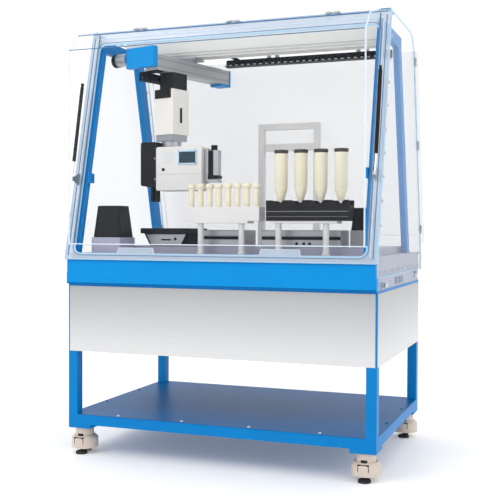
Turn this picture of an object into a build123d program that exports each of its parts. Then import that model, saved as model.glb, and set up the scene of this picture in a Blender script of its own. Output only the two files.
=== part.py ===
from build123d import *
import os
from math import atan, cos, hypot, radians, sin

# Automated sample preparation system: a stand on levelling casters, a blue
# base, a clear hood with a front and a rear door, an overhead gantry with a
# swinging arm, and a deck with racks. Millimetres, +Z up, front towards -Y,
# origin on the floor under the middle of the stand.

# Stand
STAND_W = 1600.0
STAND_D = 1080.0
TUBE = 50.0
TUBE_WALL = 3.0
FRAME_Z = 154.0
CABINET_Z = 530.0
STAND_TOP = 875.0
FOOT_PLATE = 125.0
FOOT_PLATE_T = 20.0
SHELF_T = 3.0
SCREW_R = 7.0
SCREW_H = 4.0
PANEL_T = 2.0
PANEL_REVEAL = 8.0
PANEL_GAP = 12.0
FIT = 0.3

# Casters
CASTER_INSET = 60.0
CASTER_R = 68.0
CASTER_BODY_Z = 30.0
CASTER_BODY_H = 61.0
CASTER_NECK_R = 46.0
CASTER_EDGE = 12.0
CASTER_GAP = 3.0
WHEEL_R = 33.0
WHEEL_W = 30.0
WHEEL_EDGE = 3.0
WHEEL_TRAIL = 34.0
WHEEL_LIFT = 2.0
AXLE_R = 3.5
PAD_R = 30.0
PAD_H = 14.0
PAD_EDGE = 4.0
PAD_OFFSET = 34.0
PAD_STEM_R = 7.0
THUMB_R = 17.0
THUMB_H = 22.0
FOOT_TRAVEL = 12.0
RUNNING = 0.05

# Base
BASE_FRONT_Y = -560.0
BASE_TOP = 998.0
BASE_BAND_D = 40.0
BASE_REAR_Y = 540.0
BASE_SKIN = 4.0
DECK_TOP = 1030.0
DECK_T = 8.0
BED_TOP = 1064.0
BED_FRONT_Y = -290.0
BED_REAR_Y = 480.0
BED_HALF_W = 725.0

# Hood
HOOD_HALF = 805.0
WALL_T = 8.0
WALL_BOTTOM = 932.0
HOOD_TOP = 2200.0
FRONT_LOW = (-575.0, 1000.0)
FRONT_TOP_Y = -288.0
REAR_Y = 612.0
REAR_LOW = (600.0, 1010.0)
REAR_SLOPE = 0.2366
REAR_CORNER_R = 90.0
FRAME_T = 10.0
FLANGE_W = 50.0
FRAME_BORDER_LOW = 30.0
FRAME_BORDER_TOP = 72.0
OPENING_R = 38.0
GRIP_W = 200.0
GRIP_H = 34.0
GRIP_X = (-405.0, 345.0)

# Front door
DOOR_HALF = 757.0
DOOR_T = 5.0
DOOR_BOTTOM = 1075.0
DOOR_FOLD = 2045.0
DOOR_CHAMFER = (-527.0, 2134.0)
DOOR_SEAT_GAP = 1.5
HINGE_Y = -300.0
HINGE_Z = 2202.0
KNUCKLE_R = 6.0
KNUCKLE_L = 24.0
PIN_R = 3.0
HINGE_X = (-520.0, 0.0, 520.0)
DOOR_OPEN = 62.0

# Gas struts
STRUT_X = 784.0
STRUT_TOP = (-433.0, 1900.0)
STRUT_FOOT = (-535.0, 1408.0)
STRUT_R = 9.0
STRUT_BORE_R = 6.5
STRUT_BODY_L = 400.0
STRUT_EDGE = 2.0
ROD_R = 4.0
ROD_L = 385.0
EYE_T = 10.0
EYE_R = 9.0
STUD_R = 4.0

# Rear door
REAR_DOOR_HALF = 822.0
REAR_DOOR_T = 25.0
REAR_DOOR_LOW = 1080.0
REAR_DOOR_TOP = 2116.0
REAR_DOOR_RIM = 42.0
REAR_SHEET_T = 6.0
REAR_HINGE_Z = 2128.0
REAR_HINGE_OUT = 22.0

# Gantry frames and beam
LEG_OUT = 765.0
LEG_W = 30.0
FRONT_LEG_D = 26.0
FRONT_LEG_BACK = 34.0
REAR_LEG_TOP_Y = 130.0
REAR_LEG_FOOT_Y = 405.0
REAR_LEG_D = 76.0
LEG_TOP = 2092.0
TOP_BAR_H = 62.0
CLAMP_Z = 1390.0
CLAMP_H = 50.0
CLAMP_T = 12.0
BEAM_HALF = 735.0
BEAM_D = 100.0
BEAM_Z = 2097.0
BEAM_H = 87.0
RAIL_Y = 34.0
RAIL_H = 12.0
TRAY_Y = 200.0
TRAY_D = 60.0
TRAY_Z = 2072.0
TRAY_X = (-245.0, 700.0)
TRAY_T = 3.0
LINK_PITCH = 36.0
LINK_W = 44.0
LINK_H = 32.0

# Swing arm, in its own frame: u to the right, v along the arm to the rear
PIVOT_X = -383.0
ARM_TURN = -15.6
ARM_Z = 1985.0
ARM_H = 81.0
ARM_W = 80.0
ARM_FRONT = -290.0
ARM_REAR = 325.0
BLOCK_U = (-150.0, 42.0)
BLOCK_L = 35.0
BLOCK_Z = 2000.0
BLOCK_H = 105.0
MOTOR_R = 35.0
MOTOR_L = 92.0
PIVOT_R = 48.0
PIN_BIG_R = 18.0
CARRIAGE_W = 150.0
ARM_CHAIN_PITCH = 30.0

# Column and tool
COLUMN_V = -130.0
COLUMN_W = 130.0
COLUMN_Z = 1657.0
COLUMN_TOP = 1897.0
COLUMN_WALL = 6.0
ARM_CARRIAGE_H = 88.0
SLEEVE_WALL = 8.0
SLIDE_TOP = 1885.0
SWIVEL_R = 52.0
SWIVEL_H = 30.0
SWIVEL_PIN_R = 12.0
HEAD_X = (-474.0, -210.0)
HEAD_Y = (-200.0, -80.0)
HEAD_Z = (1358.0, 1590.0)
HEAD_R = 14.0

# Racks
RACK_Y = -330.0
SMALL_N = 8
SMALL_PITCH = 50.3
SMALL_X0 = -209.0
SMALL_R = 15.0
CART_N = 4
CART_PITCH = 101.0
CART_X0 = 272.0
CART_R = 32.5
RACK_Z = 1195.0
RACK_RAIL = 12.0
TUBE_RACK_H = 70.0
CART_RACK_H = 100.0
POST_R = 15.0
POST_X = (-146.0, 74.0, 268.0, 508.0)


def front_y(z):
    """Depth of the hood's slanted front plane at a height."""
    slope = (FRONT_TOP_Y - FRONT_LOW[0]) / (HOOD_TOP - FRONT_LOW[1])
    return FRONT_LOW[0] + (z - FRONT_LOW[1]) * slope


def rear_y(z):
    """Depth of the hood's slanted rear plane at a height."""
    return REAR_LOW[0] - (z - REAR_LOW[1]) * REAR_SLOPE


def save(builder, name):
    """Label a finished piece and write its file."""
    builder.part.label = name
    export_step(builder.part, f"parts/{name}.step")


def signs(dx, dy):
    """The four mirrored places of a corner."""
    return [(-dx, -dy), (dx, -dy), (dx, dy), (-dx, dy)]


def box(x0, x1, y0, y1, z0, z1, mode=Mode.ADD):
    """An upright box between its limits, added to the open part."""
    with BuildSketch(Plane.XY.offset(z0)) as foot:
        with Locations(((x0 + x1) / 2, (y0 + y1) / 2)):
            Rectangle(x1 - x0, y1 - y0)
    extrude(foot.sketch, amount=z1 - z0, mode=mode)


def disc(x, y, z, r, h, mode=Mode.ADD):
    """An upright cylinder on a height, added to the open part."""
    with BuildSketch(Plane.XY.offset(z)) as foot:
        with Locations((x, y)):
            Circle(r)
    extrude(foot.sketch, amount=h, mode=mode)


os.makedirs("parts", exist_ok=True)

half_w = STAND_W / 2
half_d = STAND_D / 2
leg_x = half_w - TUBE / 2
leg_y = half_d - TUBE / 2
tube_bore = TUBE - 2 * TUBE_WALL
front_tilt = atan((FRONT_TOP_Y - FRONT_LOW[0]) / (HOOD_TOP - FRONT_LOW[1]))
rear_tilt = atan(REAR_SLOPE)
front_plane = Plane(
    origin=(0, FRONT_LOW[0], FRONT_LOW[1]),
    x_dir=(1, 0, 0),
    z_dir=(0, -cos(front_tilt), sin(front_tilt)),
)
front_length = (HOOD_TOP - FRONT_LOW[1]) / cos(front_tilt)
rear_plane = Plane(
    origin=(0, REAR_LOW[0], REAR_LOW[1]),
    x_dir=(-1, 0, 0),
    z_dir=(0, cos(rear_tilt), sin(rear_tilt)),
)

# Stand: square tubes, kept as separate straight pieces
with BuildPart() as stand_legs:
    with BuildSketch(Plane.XY.offset(FRAME_Z)):
        with Locations(signs(leg_x, leg_y)):
            Rectangle(TUBE, TUBE)
            Rectangle(tube_bore, tube_bore, mode=Mode.SUBTRACT)
    extrude(amount=STAND_TOP - FRAME_Z)
save(stand_legs, "stand_legs")

with BuildPart() as stand_beams:
    for level in (FRAME_Z, CABINET_Z, STAND_TOP - TUBE):
        middle = level + TUBE / 2
        with BuildSketch(Plane.YZ.offset(-half_w + TUBE)):
            with Locations((-leg_y, middle), (leg_y, middle)):
                Rectangle(TUBE, TUBE)
                Rectangle(tube_bore, tube_bore, mode=Mode.SUBTRACT)
        extrude(amount=STAND_W - 2 * TUBE)
        with BuildSketch(Plane.XZ.offset(-half_d + TUBE)):
            with Locations((-leg_x, middle), (leg_x, middle)):
                Rectangle(TUBE, TUBE)
                Rectangle(tube_bore, tube_bore, mode=Mode.SUBTRACT)
        extrude(amount=STAND_D - 2 * TUBE)
save(stand_beams, "stand_beams")

plate_x = half_w - FOOT_PLATE / 2
plate_y = half_d - FOOT_PLATE / 2
with BuildPart() as foot_plates:
    with BuildSketch(Plane.XY.offset(FRAME_Z - FOOT_PLATE_T)):
        with Locations(signs(plate_x, plate_y)):
            Rectangle(FOOT_PLATE, FOOT_PLATE)
    extrude(amount=FOOT_PLATE_T)
    chamfer(foot_plates.faces().filter_by(Axis.Z).sort_by(Axis.Z)[:4].edges(), 3)
save(foot_plates, "foot_plates")

# Shelf sheet, notched round the legs
shelf_z = FRAME_Z + TUBE
screw_inset = TUBE / 2
screw_xs = [-half_w * 0.66, -half_w * 0.22, half_w * 0.22, half_w * 0.66]
with BuildPart() as shelf:
    with BuildSketch(Plane.XY.offset(shelf_z)):
        Rectangle(STAND_W - 2 * FIT, STAND_D - 2 * FIT)
        with Locations(signs(leg_x, leg_y)):
            Rectangle(TUBE + 2 * FIT, TUBE + 2 * FIT, mode=Mode.SUBTRACT)
    extrude(amount=SHELF_T)
    with BuildSketch(Plane.XY.offset(shelf_z + SHELF_T)):
        with Locations([(x, y) for x in screw_xs for y in (-half_d + screw_inset, half_d - screw_inset)]):
            RegularPolygon(SCREW_R, 8)
        with Locations(signs(half_w - screw_inset, half_d * 0.35)):
            RegularPolygon(SCREW_R, 8)
    extrude(amount=SCREW_H, taper=15)
save(shelf, "shelf")

# Brushed steel cladding of the cabinet, proud of the tubes by its thickness
panel_z0 = CABINET_Z
panel_z1 = STAND_TOP - PANEL_GAP
with BuildPart() as steel_panels:
    for side in (-1, 1):
        face = side * (half_d + PANEL_T / 2)
        with BuildSketch(Plane.XY.offset(panel_z0)):
            with Locations((0, face)):
                Rectangle(STAND_W - 2 * PANEL_REVEAL, PANEL_T)
            with Locations((side * (half_w + PANEL_T / 2), 0)):
                Rectangle(PANEL_T, STAND_D - 2 * PANEL_REVEAL)
        extrude(amount=panel_z1 - panel_z0)
    with BuildSketch(Plane.XY.offset(CABINET_Z + TUBE)):
        Rectangle(STAND_W - 2 * TUBE, STAND_D - 2 * TUBE)
    extrude(amount=PANEL_T)
save(steel_panels, "steel_panels")

# Levelling casters: a round housing on a swivel, a wheel and a screw foot
caster_places = {
    "front_left": (-1, -1),
    "front_right": (1, -1),
    "rear_left": (-1, 1),
    "rear_right": (1, 1),
}
caster_x = half_w - CASTER_INSET
caster_y = half_d - CASTER_INSET
wheel_z = WHEEL_R + WHEEL_LIFT
body_top = CASTER_BODY_Z + CASTER_BODY_H
neck_top = FRAME_Z - FOOT_PLATE_T - FIT
for corner, (sx, sy) in caster_places.items():
    cx = sx * caster_x
    cy = sy * caster_y
    wy = cy + WHEEL_TRAIL
    py = cy - PAD_OFFSET
    with BuildPart() as housing:
        with BuildSketch(Plane.XY.offset(CASTER_BODY_Z)):
            with Locations((cx, cy)):
                Circle(CASTER_R)
        extrude(amount=CASTER_BODY_H)
        chamfer(housing.edges().group_by(Axis.Z)[-1], CASTER_EDGE)
        with BuildSketch(Plane.XY.offset(body_top)):
            with Locations((cx, cy)):
                Circle(CASTER_NECK_R)
        extrude(amount=neck_top - body_top)
        wheel_gap = WHEEL_W / 2 + CASTER_GAP
        box(cx - wheel_gap, cx + wheel_gap, wy - WHEEL_R - CASTER_GAP, wy + CASTER_R, 0,
            wheel_z + WHEEL_R + CASTER_GAP, mode=Mode.SUBTRACT)
        with BuildSketch(Plane.YZ.offset(cx - CASTER_R)):
            with Locations((wy, wheel_z)):
                Circle(AXLE_R)
        extrude(amount=2 * CASTER_R, mode=Mode.SUBTRACT)
        disc(cx, py, 0, PAD_STEM_R + RUNNING, body_top + 8, mode=Mode.SUBTRACT)
        disc(cx, py, body_top - 12 - FOOT_TRAVEL, THUMB_R + 1, THUMB_H + FOOT_TRAVEL + 2, mode=Mode.SUBTRACT)
    save(housing, f"caster_{corner}_housing")

    with BuildPart() as wheel:
        with BuildSketch(Plane.YZ.offset(cx - WHEEL_W / 2)):
            with Locations((wy, wheel_z)):
                Circle(WHEEL_R)
        extrude(amount=WHEEL_W)
        chamfer(wheel.edges(), WHEEL_EDGE)
        with BuildSketch(Plane.YZ.offset(cx - CASTER_R + 14)):
            with Locations((wy, wheel_z)):
                Circle(AXLE_R - RUNNING)
        extrude(amount=2 * CASTER_R - 28)
    save(wheel, f"caster_{corner}_wheel")

    with BuildPart() as foot:
        disc(cx, py, 0, PAD_R, PAD_H)
        chamfer(foot.edges().group_by(Axis.Z)[-1], PAD_EDGE)
        disc(cx, py, PAD_H, PAD_STEM_R, body_top - PAD_H)
        with BuildSketch(Plane.XY.offset(body_top - 11)):
            with Locations((cx, py)):
                RegularPolygon(THUMB_R, 12)
        extrude(amount=THUMB_H)
    save(foot, f"caster_{corner}_foot")

# Base: front band, side and rear panels, deck
with BuildPart() as base_band:
    box(-half_w, half_w, BASE_FRONT_Y, BASE_FRONT_Y + BASE_BAND_D, STAND_TOP, WALL_BOTTOM - FIT)
    wall_in = HOOD_HALF - WALL_T - FIT
    box(-wall_in, wall_in, BASE_FRONT_Y, BASE_FRONT_Y + BASE_BAND_D, WALL_BOTTOM - FIT, BASE_TOP)
    fillet(base_band.faces().sort_by(Axis.Y)[0].edges().filter_by(Axis.X).sort_by(Axis.Z)[-1], 6)
save(base_band, "base_band")

band_back = BASE_FRONT_Y + BASE_BAND_D
VENT_N = 6
VENT_Y = (-120.0, 38.0)
VENT_SIZE = (20.0, 34.0)
VENT_Z = 903.0
side_in = wall_in - BASE_SKIN
with BuildPart() as base_panels:
    box(-side_in, side_in, BASE_REAR_Y - BASE_SKIN, BASE_REAR_Y, STAND_TOP, DECK_TOP - DECK_T)
    with BuildSketch(Plane.XY.offset(STAND_TOP)):
        with Locations([(side * (wall_in - BASE_SKIN / 2), (band_back + BASE_REAR_Y) / 2) for side in (-1, 1)]):
            Rectangle(BASE_SKIN, BASE_REAR_Y - band_back)
    extrude(amount=DECK_TOP - DECK_T - STAND_TOP)
    with BuildSketch(Plane.YZ.offset(-half_w)):
        with Locations([(VENT_Y[0] + i * VENT_Y[1], VENT_Z) for i in range(VENT_N)]):
            Rectangle(*VENT_SIZE)
    extrude(amount=STAND_W, mode=Mode.SUBTRACT)
save(base_panels, "base_panels")

deck_half = HOOD_HALF - WALL_T - 2.0
with BuildPart() as deck_plate:
    box(-deck_half, deck_half, BASE_FRONT_Y + 5, rear_y(DECK_TOP) - FIT, DECK_TOP - DECK_T, DECK_TOP)
    box(-BED_HALF_W, BED_HALF_W, BED_FRONT_Y, BED_REAR_Y, DECK_TOP, BED_TOP)
    box(-BED_HALF_W, BED_HALF_W, BASE_FRONT_Y + 5, BASE_FRONT_Y + 11, BASE_TOP + FIT, DECK_TOP - DECK_T)
save(deck_plate, "deck_plate")

# Services on the right side of the base
side_face = wall_in
with BuildPart() as side_connectors:
    with BuildSketch(Plane.YZ.offset(side_face)):
        with Locations((-425, 897)):
            Circle(13)
    extrude(amount=22)
    with BuildSketch(Plane.YZ.offset(side_face)):
        with Locations((-465, 897)):
            Rectangle(12, 30)
        with Locations((410, 905), (452, 905)):
            Rectangle(26, 20)
        with Locations((410, 925), (452, 925)):
            Circle(6)
    extrude(amount=12)
save(side_connectors, "side_connectors")


def side_profile():
    """Outline of the hood seen from the side, drawn in the open sketch."""
    corner_y = rear_y(HOOD_TOP)
    with BuildLine() as outline:
        Polyline(
            (BASE_FRONT_Y, WALL_BOTTOM),
            FRONT_LOW,
            (front_y(HOOD_TOP), HOOD_TOP),
            (corner_y, HOOD_TOP),
            REAR_LOW,
            (REAR_LOW[0], WALL_BOTTOM),
            close=True,
        )
    make_face(outline.edges())
    return corner_y


frame_low = FRONT_LOW[1] - FRAME_T * sin(front_tilt) - FIT
with BuildPart() as hood_side_walls:
    for side in (-1, 1):
        with BuildSketch(Plane.YZ.offset(side * (HOOD_HALF - WALL_T / 2) - WALL_T / 2)) as wall:
            side_profile()
            fillet(wall.vertices().group_by(Axis.Z)[-1].sort_by(Axis.Y)[-1], REAR_CORNER_R)
            with BuildLine() as cut:
                Polyline(
                    (FRONT_LOW[0] - FRAME_T, frame_low),
                    (front_y(frame_low) + FRAME_T / cos(front_tilt) + FIT, frame_low),
                    (front_y(HOOD_TOP + 5) + FRAME_T / cos(front_tilt) + FIT, HOOD_TOP + 5),
                    (FRONT_LOW[0] - FRAME_T, HOOD_TOP + 5),
                    close=True,
                )
            make_face(cut.edges(), mode=Mode.SUBTRACT)
        extrude(amount=WALL_T)
save(hood_side_walls, "hood_side_walls")

# The top sheet follows the walls' inner outline and turns down at the rear
top_in = HOOD_HALF - WALL_T
top_front = front_y(HOOD_TOP) + FRAME_T / cos(front_tilt) + 2 * FIT
with BuildPart() as hood_top_panel:
    with BuildSketch(Plane.YZ.offset(-top_in)) as roof:
        side_profile()
        fillet(roof.vertices().group_by(Axis.Z)[-1].sort_by(Axis.Y)[-1], REAR_CORNER_R)
        offset(amount=-WALL_T, mode=Mode.SUBTRACT)
        with Locations(((top_front + REAR_Y) / 2, (REAR_HINGE_Z + HOOD_TOP) / 2)):
            Rectangle(REAR_Y - top_front, HOOD_TOP - REAR_HINGE_Z, mode=Mode.INTERSECT)
    extrude(amount=2 * top_in)
save(hood_top_panel, "hood_top_panel")

# Slanted front frame with a rounded opening and two hand grips at the sill
opening_h = front_length - FRAME_BORDER_LOW - FRAME_BORDER_TOP
opening_mid = FRAME_BORDER_LOW + opening_h / 2
with BuildPart() as hood_front_frame:
    with BuildSketch(front_plane):
        with Locations((0, front_length / 2)):
            Rectangle(2 * HOOD_HALF, front_length)
        with Locations((0, opening_mid)):
            RectangleRounded(2 * (HOOD_HALF - FLANGE_W), opening_h, OPENING_R, mode=Mode.SUBTRACT)
    extrude(amount=-FRAME_T)
    with BuildSketch(front_plane):
        with Locations([(x, FRAME_BORDER_LOW + GRIP_H / 2 - 3) for x in GRIP_X]):
            Trapezoid(GRIP_W, GRIP_H, 80)
    extrude(amount=-FRAME_T / 2)
save(hood_front_frame, "hood_front_frame")

door_low = (REAR_DOOR_LOW - REAR_LOW[1]) / cos(rear_tilt)
door_high = (REAR_DOOR_TOP - REAR_LOW[1]) / cos(rear_tilt)
with BuildPart() as hood_rear_panel:
    box(-HOOD_HALF, HOOD_HALF, REAR_LOW[0] + FIT, REAR_Y, WALL_BOTTOM, REAR_LOW[1])
    with BuildSketch(rear_plane.offset(FIT)):
        with Locations((0, (door_low - 1) / 2)):
            Rectangle(2 * HOOD_HALF, door_low - 1)
    extrude(amount=WALL_T)
save(hood_rear_panel, "hood_rear_panel")

# Front door: one folded clear sheet with cheeks, hung from three hinges
door_seat = DOOR_SEAT_GAP / cos(front_tilt)


def door_profile(inset):
    """Side view of the door sheet, its front drawn in by a wall."""
    front = -REAR_Y + inset
    top = 2188.0
    drop = inset * 1.1
    with BuildLine() as outline:
        Polyline(
            (front, DOOR_BOTTOM - 0.2 * inset),
            (front, DOOR_FOLD - 0.4 * inset),
            (DOOR_CHAMFER[0] + 0.25 * inset, DOOR_CHAMFER[1] - drop),
            (HINGE_Y - 12, HOOD_TOP - drop),
            (front_y(top) - door_seat - 6 + 2 * inset, top - drop),
            (front_y(DOOR_BOTTOM) - door_seat + 2 * inset, DOOR_BOTTOM - 0.2 * inset),
            close=True,
        )
    return outline


with BuildPart() as front_door:
    with BuildSketch(Plane.YZ.offset(-DOOR_HALF)):
        make_face(door_profile(0).edges())
    extrude(amount=2 * DOOR_HALF)
    with BuildSketch(Plane.YZ.offset(-DOOR_HALF + DOOR_T)):
        make_face(door_profile(DOOR_T).edges())
    extrude(amount=2 * (DOOR_HALF - DOOR_T), mode=Mode.SUBTRACT)
    for x in HINGE_X:
        with BuildSketch(Plane.YZ.offset(x - KNUCKLE_L / 2)):
            with Locations((HINGE_Y, HINGE_Z)):
                Circle(KNUCKLE_R)
            with BuildLine() as leaf:
                Polyline(
                    (HINGE_Y, HINGE_Z - 2),
                    (HINGE_Y - 13, HOOD_TOP - 2),
                    (HINGE_Y - 44, HOOD_TOP - 11.5),
                    (HINGE_Y - 44, HOOD_TOP - 7),
                    (HINGE_Y - 12, HOOD_TOP + 3),
                    (HINGE_Y, HINGE_Z + 2),
                    close=True,
                )
            make_face(leaf.edges())
            with Locations((HINGE_Y, HINGE_Z)):
                Circle(PIN_R + RUNNING, mode=Mode.SUBTRACT)
        extrude(amount=KNUCKLE_L)
    for side in (-1, 1):
        face = side * DOOR_HALF
        with BuildSketch(Plane.YZ.offset(face - (6 if side < 0 else 0))):
            with Locations(STRUT_TOP):
                Rectangle(40, 60)
        extrude(amount=6)
        stud = STRUT_X - STRUT_R - 1 - DOOR_HALF - 6
        with BuildSketch(Plane.YZ.offset(face + side * 6)):
            with Locations(STRUT_TOP):
                Circle(STUD_R)
        extrude(amount=side * stud)
save(front_door, "front_door")

# Fittings fixed to the hood: hinge knuckles and pins, strut feet
rear_hinge_y = rear_y(REAR_HINGE_Z) + REAR_HINGE_OUT
with BuildPart() as hood_fittings:
    for x in HINGE_X:
        for side in (-1, 1):
            start = x + side * (KNUCKLE_L / 2 + FIT)
            with BuildSketch(Plane.YZ.offset(start)):
                with Locations((HINGE_Y, HINGE_Z)):
                    Circle(KNUCKLE_R)
                with Locations(((HINGE_Y - 250) / 2, HOOD_TOP + 1.5)):
                    Rectangle(-250 - HINGE_Y, 3)
            extrude(amount=side * KNUCKLE_L)
        with BuildSketch(Plane.YZ.offset(x - KNUCKLE_L)):
            with Locations((HINGE_Y, HINGE_Z)):
                Circle(PIN_R)
        extrude(amount=2 * KNUCKLE_L)
    for side in (-1, 1):
        inner = side * (STRUT_X - EYE_T / 2 - FIT)
        with BuildSketch(Plane.YZ.offset(inner)):
            with BuildLine() as bracket:
                Polyline(
                    (STRUT_FOOT[0] - 9, STRUT_FOOT[1] + 8),
                    (STRUT_FOOT[0] - 9, STRUT_FOOT[1] - 8),
                    (front_y(STRUT_FOOT[1] - 30) - 0.1, STRUT_FOOT[1] - 30),
                    (front_y(STRUT_FOOT[1] + 30) - 0.1, STRUT_FOOT[1] + 30),
                    close=True,
                )
            make_face(bracket.edges())
        extrude(amount=-side * 5)
        with BuildSketch(Plane.YZ.offset(inner)):
            with Locations(STRUT_FOOT):
                Circle(STUD_R)
        extrude(amount=side * (EYE_T + 2 * FIT + 2))
    for x in HINGE_X:
        for side in (-1, 1):
            with BuildSketch(Plane.YZ.offset(x + side * (KNUCKLE_L / 2 + FIT))):
                with Locations((rear_hinge_y, REAR_HINGE_Z)):
                    Circle(KNUCKLE_R)
                with BuildLine() as leaf:
                    Polyline(
                        (rear_hinge_y, REAR_HINGE_Z - 4),
                        (rear_y(REAR_HINGE_Z) + FIT, REAR_HINGE_Z),
                        (rear_y(REAR_HINGE_Z + 24) + FIT, REAR_HINGE_Z + 24),
                        (rear_y(REAR_HINGE_Z + 24) + 4, REAR_HINGE_Z + 24),
                        (rear_y(REAR_HINGE_Z + 8) + 4, REAR_HINGE_Z + 8),
                        (rear_hinge_y, REAR_HINGE_Z + 5),
                        close=True,
                    )
                make_face(leaf.edges())
            extrude(amount=side * KNUCKLE_L)
        with BuildSketch(Plane.YZ.offset(x - KNUCKLE_L)):
            with Locations((rear_hinge_y, REAR_HINGE_Z)):
                Circle(PIN_R)
        extrude(amount=2 * KNUCKLE_L)
save(hood_fittings, "hood_fittings")

# Gas struts, drawn along their own line
strut_dy = STRUT_TOP[0] - STRUT_FOOT[0]
strut_dz = STRUT_TOP[1] - STRUT_FOOT[1]
strut_len = hypot(strut_dy, strut_dz)
strut_dir = (0, strut_dy / strut_len, strut_dz / strut_len)
for label, side in (("left", -1), ("right", 1)):
    mid_x = side * STRUT_X
    along = Plane(origin=(mid_x, STRUT_FOOT[0], STRUT_FOOT[1]), x_dir=(1, 0, 0), z_dir=strut_dir)
    body_end = strut_len - EYE_R - 2
    body_start = body_end - STRUT_BODY_L
    with BuildPart() as rod:
        with BuildSketch(Plane.YZ.offset(mid_x - EYE_T / 2)):
            with Locations(STRUT_FOOT):
                Circle(EYE_R)
                Circle(STUD_R + RUNNING, mode=Mode.SUBTRACT)
        extrude(amount=EYE_T)
        with BuildSketch(along.offset(EYE_R - 2)):
            Circle(ROD_R)
        extrude(amount=ROD_L)
        with BuildSketch(along.offset(EYE_R - 2 + ROD_L)):
            Circle(STRUT_BORE_R - FIT)
        extrude(amount=8)
    save(rod, f"strut_{label}_rod")

    with BuildPart() as cylinder:
        with BuildSketch(along.offset(body_start)):
            Circle(STRUT_R)
        extrude(amount=STRUT_BODY_L)
        chamfer(cylinder.edges(), STRUT_EDGE)
        with BuildSketch(along.offset(body_start + 14)):
            Circle(STRUT_BORE_R)
        extrude(amount=STRUT_BODY_L - 14 - 10, mode=Mode.SUBTRACT)
        with BuildSketch(along.offset(body_start)):
            Circle(ROD_R + 2 * RUNNING)
        extrude(amount=14, mode=Mode.SUBTRACT)
        with BuildSketch(Plane.YZ.offset(mid_x - EYE_T / 2)):
            with Locations(STRUT_TOP):
                Circle(EYE_R)
        extrude(amount=EYE_T)
        with BuildSketch(along.offset(body_end - 1)):
            Circle(4)
        extrude(amount=4)
    save(cylinder, f"strut_{label}_cylinder")

# Rear door: rim and inset sheet in the slanted rear plane
with BuildPart() as rear_door:
    with BuildSketch(rear_plane.offset(0.5)):
        with Locations((0, (door_low + door_high) / 2)):
            Rectangle(2 * REAR_DOOR_HALF, door_high - door_low)
    extrude(amount=REAR_DOOR_T)
    with BuildSketch(rear_plane.offset(0.5 + REAR_SHEET_T)):
        with Locations((0, (door_low + door_high) / 2)):
            RectangleRounded(2 * (REAR_DOOR_HALF - REAR_DOOR_RIM), door_high - door_low - 2 * REAR_DOOR_RIM, 20)
    extrude(amount=REAR_DOOR_T, mode=Mode.SUBTRACT)
    for x in HINGE_X:
        with BuildSketch(Plane.YZ.offset(x - KNUCKLE_L / 2)):
            with Locations((rear_hinge_y, REAR_HINGE_Z)):
                Circle(KNUCKLE_R)
            with Locations((rear_hinge_y - 1, REAR_HINGE_Z - 10)):
                Rectangle(5, 18)
            with Locations((rear_hinge_y, REAR_HINGE_Z)):
                Circle(PIN_R + RUNNING, mode=Mode.SUBTRACT)
        extrude(amount=KNUCKLE_L)
save(rear_door, "rear_door")

# Gantry frames: two legs, a top bar and clamp blocks on each side
leg_floor = DECK_TOP


def slanted(y_low, z_low, y_high, z_high, depth):
    """Parallelogram of a slanted leg in the open side sketch."""
    with BuildLine() as leg:
        Polyline(
            (y_low - depth / 2, z_low),
            (y_low + depth / 2, z_low),
            (y_high + depth / 2, z_high),
            (y_high - depth / 2, z_high),
            close=True,
        )
    make_face(leg.edges())


front_leg_foot = front_y(leg_floor) + FRONT_LEG_BACK
front_leg_top = front_y(LEG_TOP) + FRONT_LEG_BACK
bar_front = front_y(LEG_TOP + TOP_BAR_H) + FRAME_T / cos(front_tilt) + 1
clamp_y = front_y(CLAMP_Z + CLAMP_H / 2) + FRONT_LEG_BACK
with BuildPart() as gantry_frames:
    for side in (-1, 1):
        x0 = side * LEG_OUT - (LEG_W if side > 0 else 0)
        with BuildSketch(Plane.YZ.offset(x0)):
            slanted(front_leg_foot, leg_floor, front_leg_top, LEG_TOP - FIT, FRONT_LEG_D)
        extrude(amount=LEG_W)
        with BuildSketch(Plane.YZ.offset(x0)):
            slanted(REAR_LEG_FOOT_Y, leg_floor, REAR_LEG_TOP_Y, LEG_TOP - FIT, REAR_LEG_D)
        extrude(amount=LEG_W)
        box(x0, x0 + LEG_W, bar_front, REAR_LEG_TOP_Y + REAR_LEG_D / 2, LEG_TOP, LEG_TOP + TOP_BAR_H)
        inner = side * (LEG_OUT - LEG_W - FIT)
        low = min(inner, inner - side * CLAMP_T)
        box(low, low + CLAMP_T, clamp_y - 22, clamp_y + 26, CLAMP_Z, CLAMP_Z + CLAMP_H)
save(gantry_frames, "gantry_frames")

# X beam, rails and end plates
with BuildPart() as gantry_beam:
    with BuildSketch(Plane.YZ.offset(-BEAM_HALF + FIT)):
        with Locations((0, BEAM_Z + BEAM_H / 2)):
            RectangleRounded(BEAM_D, BEAM_H, 4)
        with Locations((-BEAM_D / 2, BEAM_Z + 12), (BEAM_D / 2, BEAM_Z + 12), (BEAM_D / 2, BEAM_Z + BEAM_H - 16)):
            Rectangle(10, 8, mode=Mode.SUBTRACT)
    extrude(amount=2 * (BEAM_HALF - FIT))
    for y in (-RAIL_Y, RAIL_Y):
        box(-BEAM_HALF + 20, BEAM_HALF - 20, y - 8, y + 8, BEAM_Z - RAIL_H, BEAM_Z)
save(gantry_beam, "gantry_beam")

tray_y0 = TRAY_Y
tray_y1 = TRAY_Y + TRAY_D
with BuildPart() as chain_tray:
    box(TRAY_X[0], TRAY_X[1], tray_y0, tray_y1, TRAY_Z, TRAY_Z + TRAY_T)
    box(TRAY_X[0], TRAY_X[1], tray_y1 - TRAY_T, tray_y1, TRAY_Z + TRAY_T, TRAY_Z + LINK_H + 14)
    for x in (TRAY_X[0] + 60, TRAY_X[1] - 60):
        box(x - 15, x + 15, BEAM_D / 2, tray_y1 - TRAY_T, TRAY_Z + LINK_H + 9, TRAY_Z + LINK_H + 14)
save(chain_tray, "chain_tray")

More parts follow.
